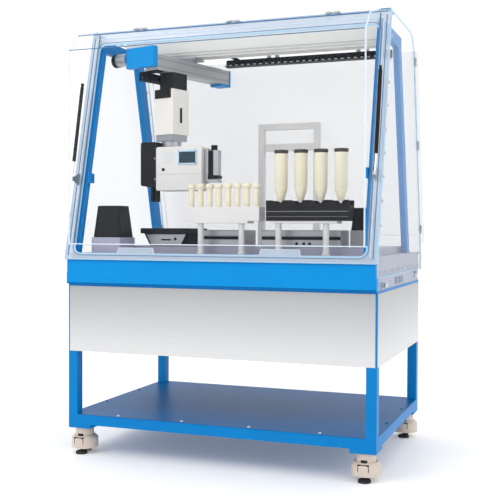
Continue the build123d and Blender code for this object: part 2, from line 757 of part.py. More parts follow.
def chain_link(pitch, width, height, plate):
    """One link of a cable chain along +X: two plates, two bars and a window."""
    with BuildPart() as link:
        box(0, pitch - 0.6, 0, plate, 0, height)
        box(0, pitch - 0.6, width - plate, width, 0, height)
        with BuildSketch(Plane.XZ.offset(1)):
            with Locations((pitch * 0.66, height / 2)):
                Rectangle(pitch * 0.4, height * 0.42)
        extrude(amount=-width - 2, mode=Mode.SUBTRACT)
        box(pitch * 0.12, pitch * 0.4, plate, width - plate, 0, plate)
        box(pitch * 0.12, pitch * 0.4, plate, width - plate, height - plate, height)
    return link.part


link_n = int((TRAY_X[1] - TRAY_X[0] - 20) / LINK_PITCH)
link = chain_link(LINK_PITCH, LINK_W, LINK_H, 5)
with BuildPart() as beam_chain:
    with Locations([(TRAY_X[0] + 10 + i * LINK_PITCH, TRAY_Y + 6, TRAY_Z + TRAY_T) for i in range(link_n)]):
        add(link)
save(beam_chain, "beam_chain")

# X carriage with the swing pivot
carriage_z0 = ARM_Z + ARM_H + 4
with BuildPart() as x_carriage:
    box(PIVOT_X - CARRIAGE_W / 2, PIVOT_X + CARRIAGE_W / 2, -60, 60, carriage_z0 + 6, BEAM_Z - RAIL_H - FIT)
    disc(PIVOT_X, 0, carriage_z0, PIVOT_R + 8, 6)
    disc(PIVOT_X, 0, carriage_z0 - 1, PIN_BIG_R + RUNNING, 40, mode=Mode.SUBTRACT)
save(x_carriage, "x_carriage")

arm_plane = Plane(
    origin=(PIVOT_X, 0, 0),
    x_dir=(cos(radians(ARM_TURN)), sin(radians(ARM_TURN)), 0),
    z_dir=(0, 0, 1),
)


def arm_box(u0, u1, v0, v1, z0, z1, mode=Mode.ADD):
    """A box along the turned arm, added to the open part."""
    with BuildSketch(arm_plane.offset(z0)) as foot:
        with Locations(((u0 + u1) / 2, (v0 + v1) / 2)):
            Rectangle(u1 - u0, v1 - v0)
    extrude(foot.sketch, amount=z1 - z0, mode=mode)


arm_length = ARM_REAR - ARM_FRONT
arm_end = Plane(
    origin=arm_plane.from_local_coords((0, ARM_FRONT, ARM_Z)),
    x_dir=arm_plane.x_dir,
    z_dir=-arm_plane.y_dir,
)
with BuildPart() as arm_beam:
    with BuildSketch(arm_end):
        with Locations((0, ARM_H / 2)):
            Rectangle(ARM_W, ARM_H)
        with Locations((-ARM_W / 2, ARM_H * 0.25), (-ARM_W / 2, ARM_H * 0.75), (ARM_W / 2, ARM_H * 0.25),
                       (ARM_W / 2, ARM_H * 0.75)):
            Rectangle(12, 9, mode=Mode.SUBTRACT)
    extrude(amount=-arm_length)
    with BuildSketch(arm_plane.offset(ARM_Z + ARM_H)):
        Circle(PIVOT_R)
    extrude(amount=4 - FIT)
    with BuildSketch(arm_plane.offset(ARM_Z + ARM_H)):
        Circle(PIN_BIG_R)
    extrude(amount=17)
save(arm_beam, "arm_beam")

with BuildPart() as arm_blocks:
    arm_box(BLOCK_U[0], BLOCK_U[1], ARM_FRONT - BLOCK_L, ARM_FRONT, BLOCK_Z, BLOCK_Z + BLOCK_H)
    arm_box(-42, 42, ARM_REAR, ARM_REAR + 12, ARM_Z - 12, ARM_Z + ARM_H)
    arm_box(-42, 42, ARM_REAR - 70, ARM_REAR + 12, ARM_Z - 12, ARM_Z - FIT)
save(arm_blocks, "arm_blocks")

motor_mid = Plane(
    origin=arm_plane.from_local_coords((BLOCK_U[0], ARM_FRONT - BLOCK_L / 2, BLOCK_Z + BLOCK_H / 2)),
    x_dir=(0, 0, 1),
    z_dir=-arm_plane.x_dir,
)
with BuildPart() as arm_motor:
    with BuildSketch(motor_mid):
        Circle(MOTOR_R - 2)
    extrude(amount=MOTOR_L * 0.72)
    with BuildSketch(motor_mid.offset(MOTOR_L * 0.72)):
        Circle(MOTOR_R)
    extrude(amount=MOTOR_L * 0.28)
save(arm_motor, "arm_motor")

# Cable chain lying under the arm
ARM_LINK_N = 7
arm_link = chain_link(ARM_CHAIN_PITCH, 50, 40, 5)
chain_start = Plane(
    origin=arm_plane.from_local_coords((-46, ARM_FRONT + 8, ARM_Z - 46)),
    x_dir=arm_plane.y_dir,
    z_dir=(0, 0, 1),
)
with BuildPart() as arm_chain:
    with Locations(chain_start):
        with Locations([(i * ARM_CHAIN_PITCH, 0, 0) for i in range(ARM_LINK_N)]):
            add(arm_link)
    arm_box(-96, 30, ARM_FRONT + 8, ARM_FRONT + 60, ARM_Z - 6 + FIT, ARM_Z - FIT)
save(arm_chain, "arm_chain")

# Column that travels along the arm
half_c = COLUMN_W / 2
with BuildPart() as column_carriage:
    arm_box(-36, 60, COLUMN_V - 55, COLUMN_V + 55, COLUMN_TOP, ARM_Z - FIT)
save(column_carriage, "column_carriage")

with BuildPart() as column_housing:
    arm_box(-half_c, half_c, COLUMN_V - half_c, COLUMN_V + half_c, COLUMN_Z, COLUMN_TOP)
    arm_box(-half_c + COLUMN_WALL, half_c - COLUMN_WALL, COLUMN_V - half_c + COLUMN_WALL,
            COLUMN_V + half_c - COLUMN_WALL, COLUMN_Z, COLUMN_TOP - COLUMN_WALL, mode=Mode.SUBTRACT)
    arm_box(half_c - COLUMN_WALL - 1, half_c + 1, COLUMN_V - 8, COLUMN_V + 8, 1722, 1798, mode=Mode.SUBTRACT)
save(column_housing, "column_housing")

head_top = HEAD_Z[1]
swivel_z = head_top + 4
with BuildPart() as lift_slide:
    half_s = half_c - COLUMN_WALL - FIT
    bore_s = half_s - SLEEVE_WALL
    arm_box(-half_s, half_s, COLUMN_V - half_s, COLUMN_V + half_s, swivel_z + SWIVEL_H, SLIDE_TOP)
    arm_box(-bore_s, bore_s, COLUMN_V - bore_s, COLUMN_V + bore_s, swivel_z + SWIVEL_H + SLEEVE_WALL, SLIDE_TOP,
            mode=Mode.SUBTRACT)
    with BuildSketch(arm_plane.offset(swivel_z)):
        with Locations((0, COLUMN_V)):
            Circle(SWIVEL_R)
            Circle(SWIVEL_PIN_R + RUNNING, mode=Mode.SUBTRACT)
    extrude(amount=SWIVEL_H)
save(lift_slide, "lift_slide")

column_at = arm_plane.from_local_coords((0, COLUMN_V, 0))
with BuildPart() as tool_head:
    box(HEAD_X[0], HEAD_X[1], HEAD_Y[0], HEAD_Y[1], HEAD_Z[0], HEAD_Z[1])
    fillet(tool_head.edges().filter_by(Axis.Y), HEAD_R)
    with BuildSketch(Plane.XY.offset(head_top)):
        with Locations((column_at.X, column_at.Y)):
            Circle(SWIVEL_R - 8)
    extrude(amount=4 - FIT)
    with BuildSketch(Plane.XY.offset(head_top)):
        with Locations((column_at.X, column_at.Y)):
            Circle(SWIVEL_PIN_R)
    extrude(amount=4 + SWIVEL_H - 2)
    box(-342, -238, HEAD_Y[0] - 4, HEAD_Y[0], 1495, 1568)
save(tool_head, "tool_head")

with BuildPart() as gripper_module:
    box(-568, -474 - FIT, -195, -110, 1378, 1618)
    for x in (-516, -488):
        disc(x, -150, 1300, 13, 78)
save(gripper_module, "gripper_module")

with BuildPart() as dosing_unit:
    box(-210 + FIT, -186, -170, -110, 1405, 1575)
    disc(-172, -150, 1436, 13, 132)
    disc(-160, -146, 1568, 17, 28)
    box(-186, -128, -172, -118, 1420, 1436)
    box(-186, -128, -172, -118, 1400, 1414)
    box(-158, -130, -165, -125, 1436, 1568)
    box(-186, -128, -150, -140, 1414, 1420)
save(dosing_unit, "dosing_unit")

# Racks on the deck
tube_x = [SMALL_X0 + i * SMALL_PITCH for i in range(SMALL_N)]
cart_x = [CART_X0 + i * CART_PITCH for i in range(CART_N)]
with BuildPart() as tube_rack:
    box(tube_x[0] - 30, tube_x[-1] + 30, RACK_Y - 45, RACK_Y + 45, RACK_Z, RACK_Z + TUBE_RACK_H)
    with BuildSketch(Plane.XY.offset(RACK_Z + TUBE_RACK_H)):
        with Locations([(x, RACK_Y) for x in tube_x]):
            Circle(SMALL_R + FIT)
    extrude(amount=-40, mode=Mode.SUBTRACT)
save(tube_rack, "tube_rack")

with BuildPart() as sample_tubes:
    for x in tube_x:
        disc(x, RACK_Y, RACK_Z + TUBE_RACK_H - 40, SMALL_R, 132)
        disc(x, RACK_Y, RACK_Z + TUBE_RACK_H + 92, SMALL_R + 6, 26)
save(sample_tubes, "sample_tubes")

with BuildPart() as cartridge_rack:
    box(cart_x[0] - 60, cart_x[-1] + 52, RACK_Y - 55, RACK_Y + 55, RACK_Z, RACK_Z + CART_RACK_H)
    with BuildSketch(Plane.XY.offset(RACK_Z + CART_RACK_H)):
        with Locations([(x, RACK_Y) for x in cart_x]):
            Circle(17)
    extrude(amount=-60, mode=Mode.SUBTRACT)
save(cartridge_rack, "cartridge_rack")

CART_OUTLINE = ((0, 1290), (16, 1290), (16, 1298), (CART_R - 2, 1345), (CART_R - 2, 1360), (CART_R, 1360),
                (CART_R, 1524), (0, 1524))
with BuildPart() as cartridges:
    for x in cart_x:
        with BuildSketch(Plane.XZ.offset(-RACK_Y)) as turned:
            with BuildLine():
                Polyline(*[(x + r, z) for r, z in CART_OUTLINE], close=True)
            make_face()
        revolve(turned.sketch, axis=Axis((x, RACK_Y, 0), (0, 0, 1)))
save(cartridges, "cartridges")

with BuildPart() as cartridge_caps:
    for x in cart_x:
        disc(x, RACK_Y, 1524, CART_R + 3, 18)
save(cartridge_caps, "cartridge_caps")

with BuildPart() as rack_posts:
    for x in POST_X:
        disc(x, RACK_Y - 25, DECK_TOP, POST_R, RACK_Z - DECK_TOP - RACK_RAIL - FIT)
        disc(x, RACK_Y - 25, DECK_TOP, POST_R + 5, 8)
    for x0, x1 in ((POST_X[0] - 40, POST_X[1] + 40), (POST_X[2] - 40, POST_X[3] + 60)):
        box(x0, x1, RACK_Y - 50, RACK_Y + 45, RACK_Z - RACK_RAIL, RACK_Z)
save(rack_posts, "rack_posts")

with BuildPart() as deck_modules:
    for x0, x1 in ((-200, 60), (150, 560)):
        box(x0, x1, RACK_Y + 60, -110, BED_TOP, 1150)
save(deck_modules, "deck_modules")

with BuildPart() as rear_portal:
    for x in (-70, 258):
        box(x - 17, x + 17, 333, 367, BED_TOP, 1722 - FIT)
    box(-87, 275, 333, 367, 1722, 1756)
    box(-53 + FIT, 241 - FIT, 340, 360, 1600, 1642)
save(rear_portal, "rear_portal")

with BuildPart() as tapered_modules:
    for x, y, z, w, h in ((-620, -400, 1110, 160, 162), (655, -190, 1150, 110, 110)):
        with BuildSketch(Plane.XY.offset(z)):
            with Locations((x, y)):
                RectangleRounded(w, w * 0.9, 12)
        with BuildSketch(Plane.XY.offset(z + h)):
            with Locations((x, y)):
                RectangleRounded(w * 0.78, w * 0.7, 10)
        loft()
    box(-700, -540, -480, -320, DECK_TOP, 1110 - FIT)
    box(600, 710, -240, -140, BED_TOP, 1150 - FIT)
save(tapered_modules, "tapered_modules")

with BuildPart() as balance:
    with BuildSketch(Plane.XY.offset(BED_TOP)):
        with Locations((-374, -180)):
            RectangleRounded(200, 190, 12)
    with BuildSketch(Plane.XY.offset(1130)):
        with Locations((-374, -180)):
            RectangleRounded(260, 210, 12)
    loft()
    box(-514, -234, -300, -70, 1130, 1158)
save(balance, "balance")
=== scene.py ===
import bpy
import bmesh
from math import cos, pi, radians, sin
from mathutils import Matrix, Vector


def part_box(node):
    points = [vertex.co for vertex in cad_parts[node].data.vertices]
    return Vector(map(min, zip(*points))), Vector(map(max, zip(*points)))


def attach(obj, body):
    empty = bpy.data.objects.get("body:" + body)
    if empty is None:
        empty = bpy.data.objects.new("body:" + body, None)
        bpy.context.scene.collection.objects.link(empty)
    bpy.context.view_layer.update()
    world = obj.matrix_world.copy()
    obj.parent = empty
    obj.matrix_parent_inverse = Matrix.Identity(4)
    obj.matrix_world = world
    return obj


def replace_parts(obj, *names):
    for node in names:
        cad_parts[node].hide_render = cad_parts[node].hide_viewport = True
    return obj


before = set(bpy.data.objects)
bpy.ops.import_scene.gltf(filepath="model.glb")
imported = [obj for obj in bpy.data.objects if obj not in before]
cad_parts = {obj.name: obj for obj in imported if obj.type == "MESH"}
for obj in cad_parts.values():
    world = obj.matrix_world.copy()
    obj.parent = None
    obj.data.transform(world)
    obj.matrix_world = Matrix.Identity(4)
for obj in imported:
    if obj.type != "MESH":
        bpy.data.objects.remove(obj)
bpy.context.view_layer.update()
scene = bpy.context.scene

# Camera at the photograph's place
CAM_AT = (1.6522, -4.4923, 1.1454)
YAW, PITCH, ROLL = radians(20.327), radians(1.224), radians(0.231)
LENS = 64.19
look = Vector((-sin(YAW) * cos(PITCH), cos(YAW) * cos(PITCH), -sin(PITCH)))
right = Vector((cos(YAW), sin(YAW), 0))
up = right.cross(look)
tilted_right = cos(ROLL) * right + sin(ROLL) * up
tilted_up = -sin(ROLL) * right + cos(ROLL) * up
camera = bpy.data.objects.new("camera", bpy.data.cameras.new("camera"))
camera.matrix_world = Matrix((
    (tilted_right.x, tilted_up.x, -look.x, CAM_AT[0]),
    (tilted_right.y, tilted_up.y, -look.y, CAM_AT[1]),
    (tilted_right.z, tilted_up.z, -look.z, CAM_AT[2]),
    (0, 0, 0, 1),
))
camera.data.sensor_width = 36
camera.data.lens = LENS
camera.data.clip_end = 60
scene.collection.objects.link(camera)
scene.camera = camera


# Materials
def material(name):
    m = bpy.data.materials.new(name)
    m.use_nodes = True
    tree = m.node_tree
    return m, tree, tree.nodes["Principled BSDF"]


def grain(tree, scale, detail=4.0, stretch=(1, 1, 1), rough=0.55):
    """Noise in the object's own frame, stretched along an axis."""
    where = tree.nodes.new("ShaderNodeTexCoord")
    mapping = tree.nodes.new("ShaderNodeMapping")
    mapping.inputs["Scale"].default_value = stretch
    noise = tree.nodes.new("ShaderNodeTexNoise")
    noise.inputs["Scale"].default_value = scale
    noise.inputs["Detail"].default_value = detail
    noise.inputs["Roughness"].default_value = rough
    tree.links.new(where.outputs["Object"], mapping.inputs["Vector"])
    tree.links.new(mapping.outputs["Vector"], noise.inputs["Vector"])
    return noise.outputs["Fac"]


def spread(tree, value, low, high):
    ramp = tree.nodes.new("ShaderNodeMapRange")
    ramp.inputs["From Min"].default_value = 0.3
    ramp.inputs["From Max"].default_value = 0.7
    ramp.inputs["To Min"].default_value = low
    ramp.inputs["To Max"].default_value = high
    tree.links.new(value, ramp.inputs["Value"])
    return ramp.outputs["Result"]


def mixed(tree, value, first, second):
    mix = tree.nodes.new("ShaderNodeMix")
    mix.data_type = "RGBA"
    mix.inputs["A"].default_value = (*first, 1)
    mix.inputs["B"].default_value = (*second, 1)
    tree.links.new(value, mix.inputs["Factor"])
    return mix.outputs["Result"]


def surface(name, color, rough=0.4, metal=0.0, vary=0.06, fine=600.0, bump=0.04, broad=5.0,
            depth=0.0006, shine=0.5):
    """Painted, moulded or bare surface: broad colour drift, fine bump and uneven gloss."""
    m, tree, shader = material(name)
    dark = tuple(max(0.0, c * (1 - vary)) for c in color)
    light = tuple(min(1.0, c * (1 + vary * 0.7)) for c in color)
    drift = grain(tree, broad, 5.0)
    tree.links.new(mixed(tree, spread(tree, drift, 0, 1), dark, light), shader.inputs["Base Color"])
    tiny = grain(tree, fine, 3.0)
    gloss = spread(tree, tiny, max(0.02, rough - 0.06), min(1.0, rough + 0.08))
    tree.links.new(gloss, shader.inputs["Roughness"])
    shader.inputs["Metallic"].default_value = metal
    shader.inputs["Specular IOR Level"].default_value = shine
    relief = tree.nodes.new("ShaderNodeBump")
    relief.inputs["Strength"].default_value = bump
    relief.inputs["Distance"].default_value = depth
    tree.links.new(tiny, relief.inputs["Height"])
    tree.links.new(relief.outputs["Normal"], shader.inputs["Normal"])
    return m


def brushed(name, color, along, rough=0.34, metal=0.9, vary=0.05, painted_shade_heights=None):
    """Metal with long grain lines along one axis; an optional pair of heights gives the span over which it
    darkens upwards, a painted shade.
    """
    stretch = [260.0, 260.0, 260.0]
    stretch["XYZ".index(along)] = 2.0
    m, tree, shader = material(name)
    lines = grain(tree, 1.6, 6.0, tuple(stretch), 0.75)
    dark = tuple(c * (1 - vary) for c in color)
    light = tuple(min(1.0, c * (1 + vary)) for c in color)
    tone = mixed(tree, spread(tree, lines, 0, 1), dark, light)
    # Painted shade: the colour is multiplied darker from the lower height up to the upper one.
    if painted_shade_heights:
        where = tree.nodes.new("ShaderNodeTexCoord")
        split = tree.nodes.new("ShaderNodeSeparateXYZ")
        tree.links.new(where.outputs["Object"], split.inputs["Vector"])
        rise = tree.nodes.new("ShaderNodeMapRange")
        rise.inputs["From Min"].default_value = painted_shade_heights[0]
        rise.inputs["From Max"].default_value = painted_shade_heights[1]
        tree.links.new(split.outputs["Z"], rise.inputs["Value"])
        shade = tree.nodes.new("ShaderNodeMix")
        shade.data_type = "RGBA"
        shade.blend_type = "MULTIPLY"
        shade.inputs["B"].default_value = (0.60, 0.61, 0.63, 1)
        tree.links.new(rise.outputs["Result"], shade.inputs["Factor"])
        tree.links.new(tone, shade.inputs["A"])
        tone = shade.outputs["Result"]
    tree.links.new(tone, shader.inputs["Base Color"])
    tree.links.new(spread(tree, lines, rough - 0.07, rough + 0.1), shader.inputs["Roughness"])
    shader.inputs["Metallic"].default_value = metal
    relief = tree.nodes.new("ShaderNodeBump")
    relief.inputs["Strength"].default_value = 0.09
    relief.inputs["Distance"].default_value = 0.0004
    tree.links.new(lines, relief.inputs["Height"])
    tree.links.new(relief.outputs["Normal"], shader.inputs["Normal"])
    return m


def clear(name, color, alpha, rough=0.05, glow=0.0, vary=0.05):
    """Clear or tinted sheet, seen through, with faint marks in its gloss."""
    m, tree, shader = material(name)
    marks = grain(tree, 3.0, 6.0)
    dark = tuple(c * (1 - vary) for c in color)
    tree.links.new(mixed(tree, spread(tree, marks, 0, 1), dark, color), shader.inputs["Base Color"])
    tree.links.new(spread(tree, grain(tree, 45.0, 5.0), rough, rough + 0.05), shader.inputs["Roughness"])
    shader.inputs["IOR"].default_value = 1.49
    shader.inputs["Alpha"].default_value = alpha
    # Emission makes the sheet shine by itself: painted light.
    if glow:
        shader.inputs["Emission Color"].default_value = (*color, 1)
        shader.inputs["Emission Strength"].default_value = glow
    return m


BLUE = (0.0, 0.195, 0.53)
MATERIALS = {
    "blue": surface("blue_coat", BLUE, 0.36, vary=0.05, fine=900, bump=0.05, shine=0.12),
    "blue_band": surface("blue_band_coat", (0.0, 0.25, 0.63), 0.36, vary=0.04, fine=900, bump=0.05,
                         shine=0.12),
    # Darker copy of the blue paint: painted shade, on the shelf under the base and on the band's shadow
    # line.
    "blue_painted_shade": surface("blue_coat_painted_shade", (0.0, 0.12, 0.34), 0.38, vary=0.06, fine=900, bump=0.05,
                         shine=0.1),
    # The steel sheet darkens towards its top, just under the blue band: painted shade.
    "steel_front": brushed("steel_sheet", (0.68, 0.685, 0.69), "X", 0.36, 0.72, painted_shade_heights=(0.56, 0.87)),
    "base": surface("base_paint", (0.33, 0.36, 0.46), 0.42, vary=0.05, bump=0.04),
    "deck": surface("deck_paint", (0.36, 0.37, 0.46), 0.4, vary=0.08, bump=0.05),
    "clear": clear("clear_sheet", (0.45, 0.62, 0.80), 0.014),
    # Side-wall sheets: a hazier copy of the clear sheet, painted reflection of sheets seen at a slant.
    "wall": clear("wall_sheet", (0.56, 0.62, 0.69), 0.11),
    "door": clear("door_sheet", (0.45, 0.60, 0.76), 0.010),
    "frame": clear("frame_sheet", (0.56, 0.65, 0.77), 0.58, 0.08),
    "grey": clear("grey_sheet", (0.74, 0.75, 0.77), 0.26, 0.2),
    # Tinted sheet edges that also shine by themselves: partly the edge's own tint, partly a painted glow.
    "edge": clear("sheet_edge", (0.42, 0.70, 0.90), 0.70, 0.2, 0.12),
    # Dark lines on the clear sheets at folds, seats and beside rims: painted shade.
    "painted_shade_edge": clear("sheet_edge_dark", (0.05, 0.20, 0.40), 0.70, 0.2),
    # Pale lines with emission on the sheet edges: painted highlights.
    "painted_highlight_edge": clear("sheet_edge_white", (0.72, 0.82, 0.92), 0.60, 0.25, 0.10),
    "teal": surface("teal_fitting", (0.01, 0.34, 0.55), 0.35, vary=0.1),
    "cream": surface("cream_paint", (0.78, 0.75, 0.70), 0.42, vary=0.04, fine=700, bump=0.05),
    "white": surface("white_plastic", (0.70, 0.69, 0.68), 0.45, vary=0.04, bump=0.04),
    "beam": surface("beam_paint", (0.66, 0.66, 0.63), 0.38, vary=0.04, bump=0.03),
    "alu": brushed("profile_metal", (0.42, 0.43, 0.42), "Y", 0.36, 0.6, 0.06),
    "alu_plain": surface("plain_metal", (0.42, 0.43, 0.45), 0.35, metal=0.8, vary=0.07, fine=900,
                         bump=0.05),
    "steel": surface("bare_steel", (0.50, 0.51, 0.53), 0.3, metal=0.9, vary=0.1, fine=700, bump=0.05),
    "chrome": surface("plated_metal", (0.72, 0.73, 0.75), 0.14, metal=1.0, vary=0.05, fine=400, bump=0.02),
    "black": surface("black_plastic", (0.008, 0.008, 0.009), 0.50, vary=0.25, fine=900, bump=0.12,
                     shine=0.15),
    "black_soft": surface("black_coat", (0.014, 0.012, 0.012), 0.46, vary=0.2, fine=1200,
                          bump=0.06, shine=0.12),
    "rubber": surface("black_rubber", (0.014, 0.014, 0.015), 0.72, vary=0.3, fine=500, bump=0.2),
    # Grey paint, also used in the arm grooves, darker than the metal, as painted shade.
    "grey_paint": surface("grey_paint", (0.30, 0.30, 0.31), 0.42, vary=0.07, bump=0.05),
    "tube": surface("tube_plastic", (0.76, 0.71, 0.55), 0.42, vary=0.05, fine=500, bump=0.03),
    "cap": surface("cap_plastic", (0.045, 0.032, 0.026), 0.5, vary=0.2, fine=700, bump=0.1),
    "shell": surface("caster_shell", (0.62, 0.53, 0.45), 0.38, vary=0.05, fine=400, bump=0.04),
    "red": surface("red_wheel", (0.34, 0.035, 0.014), 0.5, vary=0.2, fine=500, bump=0.1),
    "screen": surface("screen_glass", (0.008, 0.03, 0.05), 0.12, vary=0.4, broad=30, fine=300, bump=0.01),
    "bezel": surface("screen_bezel", (0.42, 0.66, 0.88), 0.4, vary=0.05, bump=0.03),
    "print": surface("pale_print", (0.50, 0.58, 0.66), 0.5, vary=0.2, broad=90),
    "dark_vent": surface("vent_shadow", (0.006, 0.025, 0.09), 0.6, vary=0.2),
}
CAD_MATERIAL = {
    # The shelf takes the darker copy of the blue paint: painted shade under the base.
    "stand_legs": "blue", "stand_beams": "blue", "foot_plates": "blue", "shelf": "blue_painted_shade",
    "steel_panels": "steel_front", "base_band": "blue_band", "base_panels": "base", "deck_plate": "deck",
    "side_connectors": "chrome", "hood_side_walls": "wall", "hood_top_panel": "clear", "front_door": "door",
    "hood_front_frame": "frame", "rear_door": "grey", "hood_rear_panel": "grey", "hood_fittings": "steel",
    "gantry_frames": "blue", "gantry_beam": "beam", "chain_tray": "black_soft", "beam_chain": "black",
    "x_carriage": "alu_plain", "arm_beam": "alu", "arm_blocks": "blue_band", "arm_motor": "alu_plain",
    "arm_chain": "black", "column_carriage": "black_soft", "column_housing": "cream",
    "lift_slide": "alu_plain", "tool_head": "white", "gripper_module": "black_soft",
    "dosing_unit": "alu_plain", "tube_rack": "white", "sample_tubes": "tube",
    "cartridge_rack": "black_soft", "cartridges": "tube", "cartridge_caps": "cap",
    "rack_posts": "white", "deck_modules": "grey_paint", "rear_portal": "white",
    "tapered_modules": "black_soft", "balance": "black_soft",
}
for node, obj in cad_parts.items():
    if node.startswith("caster_"):
        kind = {"g": "shell", "l": "black", "t": "rubber"}[node[-1]]
    elif node.startswith("strut_"):
        kind = "black_soft" if node.endswith("cylinder") else "chrome"
    else:
        kind = CAD_MATERIAL[node]
    obj.data.materials.clear()
    obj.data.materials.append(MATERIALS[kind])


# Piece makers
def piece(name, bm, kind, body="frame", smooth=True, bevel=0.0):
    """Turns a bmesh into a finished object that rides on a body."""
    mesh = bpy.data.meshes.new(name)
    bmesh.ops.recalc_face_normals(bm, faces=bm.faces[:])
    bm.to_mesh(mesh)
    bm.free()
    obj = bpy.data.objects.new(name, mesh)
    scene.collection.objects.link(obj)
    mesh.materials.append(MATERIALS[kind])
    if smooth:
        for face in mesh.polygons:
            face.use_smooth = True
        soft = obj.modifiers.new("split", "EDGE_SPLIT")
        soft.split_angle = radians(35)
    if bevel:
        edge = obj.modifiers.new("bevel", "BEVEL")
        edge.width = bevel
        edge.segments = 2
        edge.limit_method = "ANGLE"
    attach(obj, body)
    return obj


def add_box(bm, low, high, turn=None):
    """Box between two corners, turned into place if asked."""
    made = bmesh.ops.create_cube(bm, size=1)
    size = Vector(high) - Vector(low)
    middle = (Vector(high) + Vector(low)) / 2
    place = Matrix.Translation(middle) @ Matrix.Diagonal((*size, 1))
    if turn is not None:
        place = turn @ place
    bmesh.ops.transform(bm, matrix=place, verts=made["verts"])


def add_turned(bm, profile, origin, axis=(0, 0, 1), steps=24):
    """Solid of revolution: (radius, height) pairs turned round an axis."""
    turn = Vector((0, 0, 1)).rotation_difference(Vector(axis)).to_matrix().to_4x4()
    place = Matrix.Translation(origin) @ turn
    angles = [2 * pi * i / steps for i in range(steps)]
    rings = []
    for r, h in profile:
        if r < 1e-6:
            rings.append([bm.verts.new(place @ Vector((0, 0, h)))])
        else:
            rings.append([bm.verts.new(place @ Vector((r * cos(a), r * sin(a), h))) for a in angles])
    for lower, upper in zip(rings, rings[1:]):
        for i in range(steps):
            j = (i + 1) % steps
            if len(lower) == 1 and len(upper) == 1:
                continue
            if len(lower) == 1:
                bm.faces.new((lower[0], upper[j], upper[i]))
            elif len(upper) == 1:
                bm.faces.new((lower[i], lower[j], upper[0]))
            else:
                bm.faces.new((lower[i], lower[j], upper[j], upper[i]))


def add_plate(bm, outline, y0, y1):
    """Upright plate: an outline in x and z, pushed along y."""
    front = [bm.verts.new((x, y0, z)) for x, z in outline]
    back = [bm.verts.new((x, y1, z)) for x, z in outline]
    bm.faces.new(front)
    bm.faces.new(back[::-1])
    for i in range(len(front)):
        j = (i + 1) % len(front)
        bm.faces.new((front[i], back[i], back[j], front[j]))


def line(name, points, radius, kind, body="frame", closed=False):
    """A thin edge or rod along straight runs, as a swept curve."""
    curve = bpy.data.curves.new(name, "CURVE")
    curve.dimensions = "3D"
    curve.bevel_depth = radius
    curve.bevel_resolution = 2
    run = curve.splines.new("POLY")
    run.points.add(len(points) - 1)
    for p, at in zip(run.points, points):
        p.co = (*at, 1)
    run.use_cyclic_u = closed
    obj = bpy.data.objects.new(name, curve)
    scene.collection.objects.link(obj)
    curve.materials.append(MATERIALS[kind])
    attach(obj, body)


# Shared places, in metres
FRONT_LOW, FRONT_TOP = Vector((0, -0.575, 1.0)), Vector((0, -0.288, 2.2))
REAR_LOW_Y, REAR_LOW_Z, REAR_SLOPE = 0.600, 1.010, 0.2366
front_up = (FRONT_TOP - FRONT_LOW).normalized()
front_out = Vector((0, -front_up.z, front_up.y))
front_length = (FRONT_TOP - FRONT_LOW).length
SIDES = ((-1, "l"), (1, "r"))


def on_front(x, along, out=0.0):
    """Point of the slanted front plane."""
    return Vector((x, 0, 0)) + FRONT_LOW + front_up * along + front_out * out


def front_y(z):
    return FRONT_LOW.y + (z - FRONT_LOW.z) * (FRONT_TOP.y - FRONT_LOW.y) / (FRONT_TOP.z - FRONT_LOW.z)


def rear_y(z):
    return REAR_LOW_Y - (z - REAR_LOW_Z) * REAR_SLOPE


# Hood: polished edges of the sheets, drawn as lines with a painted glow and painted highlights, beside dark
# lines of painted shade
HALF, FLANGE = 0.805, 0.05
LOW_BORDER, TOP_BORDER, CORNER = 0.030, 0.072, 0.038


def rounded(x0, x1, s0, s1, r, out):
    """Rounded rectangle on the front plane."""
    spots = []
    centres = ((x1 - r, s0 + r, -90), (x1 - r, s1 - r, 0), (x0 + r, s1 - r, 90), (x0 + r, s0 + r, 180))
    for cx, cs, start in centres:
        for i in range(9):
            a = radians(start + 90 * i / 8)
            spots.append(on_front(cx + r * cos(a), cs + r * sin(a), out))
    return spots


opening = (-HALF + FLANGE, HALF - FLANGE, LOW_BORDER, front_length - TOP_BORDER)
# Rim of the opening: tinted line with a painted glow.
line("frame_opening_edge", rounded(*opening, CORNER, -0.005), 0.0052, "edge", closed=True)
LINE_OUT = 0.008
beside = (opening[0] - LINE_OUT, opening[1] + LINE_OUT, opening[2] - LINE_OUT, opening[3] + LINE_OUT)
# Dark line just beside the rim of the opening: painted shade.
line("frame_opening_line", rounded(*beside, CORNER + LINE_OUT, 0.0002), 0.0016, "painted_shade_edge", closed=True)
# Outer rim of the frame: tinted line with a painted glow.
line("frame_outer_edge", rounded(-HALF + 0.003, HALF - 0.003, 0.003, front_length - 0.003, 0.006, -0.005),
     0.0045, "edge", closed=True)
SKIN = 0.0005
# Each side flange gets a dark line of painted shade and a pale glint, a painted highlight.
FLANGE_RUNS = (("line", 0.020, 0.02, 0.03, 0.0022, "painted_shade_edge"),
               ("glint", 0.034, 0.03, 0.05, 0.0030, "painted_highlight_edge"))
# Along the top: the same dark line of painted shade and pale glint of painted highlight.
TOP_RUNS = (("line", 0.01, 0.012, 0.0022, "painted_shade_edge"), ("glint", 0.03, 0.040, 0.0030, "painted_highlight_edge"))
for side, tag in SIDES:
    for what, inset, low, high, radius, kind in FLANGE_RUNS:
        x = side * (HALF - inset)
        line(f"frame_flange_{what}_{tag}", [on_front(x, low, SKIN), on_front(x, front_length - high, SKIN)],
             radius, kind)
for what, inset, drop, radius, kind in TOP_RUNS:
    run = [on_front(x, front_length - drop, SKIN) for x in (-HALF + inset, HALF - inset)]
    line(f"frame_top_{what}", run, radius, kind)
GRIP_X = (-0.405, 0.345)
GRIP_OUTLINE = ((-0.100, 0.030), (-0.094, 0.060), (0.094, 0.060), (0.100, 0.030))
